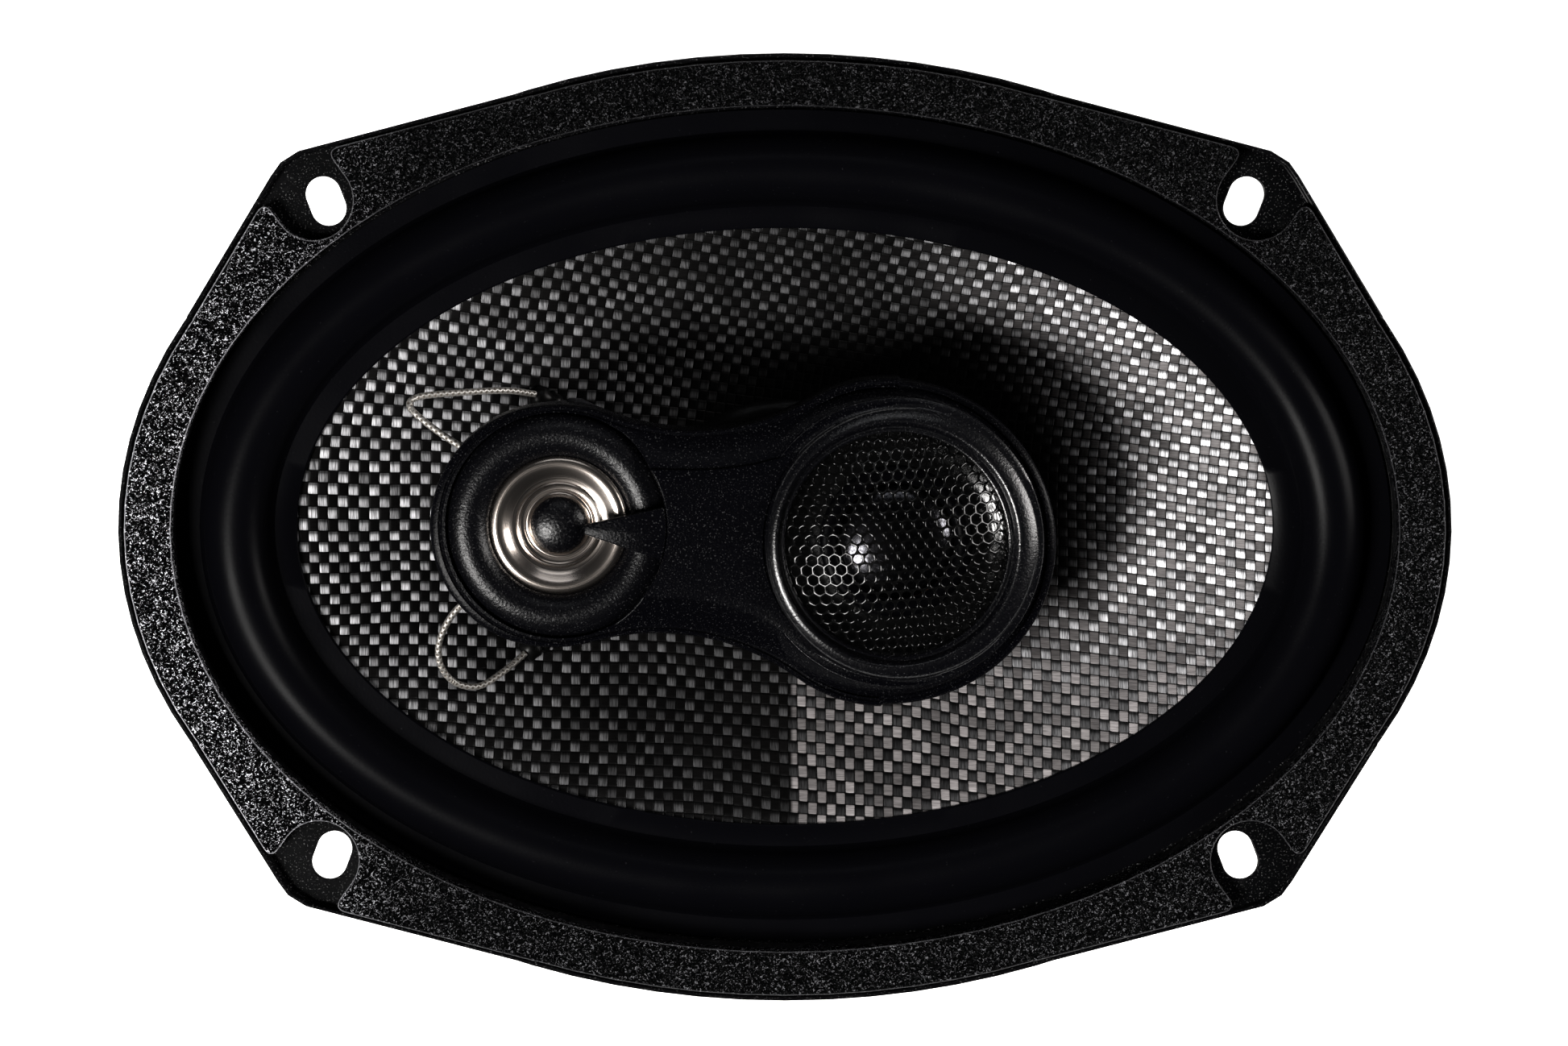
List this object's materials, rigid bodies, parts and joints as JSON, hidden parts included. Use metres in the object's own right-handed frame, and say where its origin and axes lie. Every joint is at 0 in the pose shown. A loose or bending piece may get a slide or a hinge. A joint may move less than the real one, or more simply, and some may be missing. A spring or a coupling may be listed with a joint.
{
  "type": "coaxial car speaker",
  "caption": "Oval three-way coaxial car speaker with a woven cone, rubber surround, gasketed flange with slots and a pod holding a midrange and a meshed tweeter.",
  "frame": {"origin": "centre of the rear face of the flange, the plane that seats on the panel", "axes": "Z out of the front towards the listener, X along the long axis, Y along the short axis with the terminals on the -Y side"},
  "size_m": [0.236, 0.1686, 0.0992],
  "materials": {
    "basket": "satin black paint on pressed steel",
    "gasket": "black foam board with a pebbled skin",
    "surround_rubber": "smooth matt black butyl rubber",
    "woven_fibre": "plain weave of flat silver-grey and black tows in clear resin",
    "felt": "pressed black felt",
    "former_paper": "amber polyimide film",
    "copper_wire": "enamelled copper wire",
    "spider_cloth": "pressed resin-dipped cloth",
    "motor_steel": "zinc-plated steel",
    "ferrite": "sintered ferrite",
    "boot_rubber": "smooth black rubber",
    "plated_steel": "plated steel",
    "pod_plastic": "fine-grained satin black moulding",
    "mid_rubber": "fine-grained black rubber",
    "spun_aluminium": "satin champagne aluminium",
    "dust_cap_plastic": "coarse-grained black moulding",
    "neodymium": "nickel plate",
    "mesh_steel": "gloss black paint on perforated steel",
    "gloss_black": "gloss black moulding",
    "dome_foil": "bright metallised film",
    "capacitor_sleeve": "blue shrink sleeve",
    "tinsel_braid": "tinned copper braid over thread",
    "black_glue": "black rubbery glue",
    "board_laminate": "brown phenolic laminate",
    "tinned_brass": "tinned brass"
  },
  "bodies": {
    "frame": {"basket_rim": "basket", "basket_legs": "basket", "basket_pan": "basket", "gasket": "gasket", "surround": "surround_rubber", "spider": "spider_cloth", "top_plate": "motor_steel", "magnet": "ferrite", "pole_yoke": "motor_steel", "magnet_boot": "boot_rubber", "motor_rivets": "plated_steel", "post": "pod_plastic", "post_screw": "plated_steel", "post_nut": "plated_steel", "pod_base": "pod_plastic", "pod_shell": "pod_plastic", "lead_cover": "pod_plastic", "mid_frame": "pod_plastic", "mid_surround": "mid_rubber", "mid_yoke": "motor_steel", "mid_magnet": "neodymium", "mid_pole_piece": "motor_steel", "tweeter_bezel": "pod_plastic", "mesh_grille": "mesh_steel", "tweeter_faceplate": "gloss_black", "tweeter_surround": "mid_rubber", "tweeter_yoke": "motor_steel", "tweeter_magnet": "neodymium", "tweeter_pole_piece": "motor_steel", "crossover_capacitors": "capacitor_sleeve", "pod_screws": "plated_steel", "lead_back_left": "tinsel_braid", "lead_back_right": "tinsel_braid", "terminal_board": "board_laminate", "terminal_wide": "tinned_brass", "terminal_narrow": "tinned_brass", "terminal_rivets": "plated_steel"},
    "woofer": {"cone": "woven_fibre", "neck_seal": "felt", "coil_former": "former_paper", "voice_coil": "copper_wire", "lead_glue_beads": "black_glue", "lead_front_upper": "tinsel_braid", "lead_front_lower": "tinsel_braid"},
    "midrange": {"mid_cone": "spun_aluminium", "mid_dust_cap": "dust_cap_plastic", "mid_coil": "copper_wire"},
    "tweeter": {"tweeter_dome": "dome_foil", "tweeter_coil": "copper_wire"}
  },
  "joints": [
    {"name": "woofer_stroke", "type": "slide", "parent": "frame", "child": "woofer", "axis": [0, 0, 1], "range_m": [-0.005, 0.005], "stiffness_N_per_m": 2800, "deforming": ["surround", "spider", "lead_back_left", "lead_back_right", "lead_front_upper", "lead_front_lower"]},
    {"name": "midrange_stroke", "type": "slide", "parent": "frame", "child": "midrange", "axis": [0, 0, 1], "range_m": [-0.0006, 0.0006], "stiffness_N_per_m": 3000, "deforming": ["mid_surround"]},
    {"name": "tweeter_stroke", "type": "slide", "parent": "frame", "child": "tweeter", "axis": [0, 0, 1], "range_m": [-0.0003, 0.0003], "stiffness_N_per_m": 4000, "deforming": ["tweeter_surround"]}
  ]
}
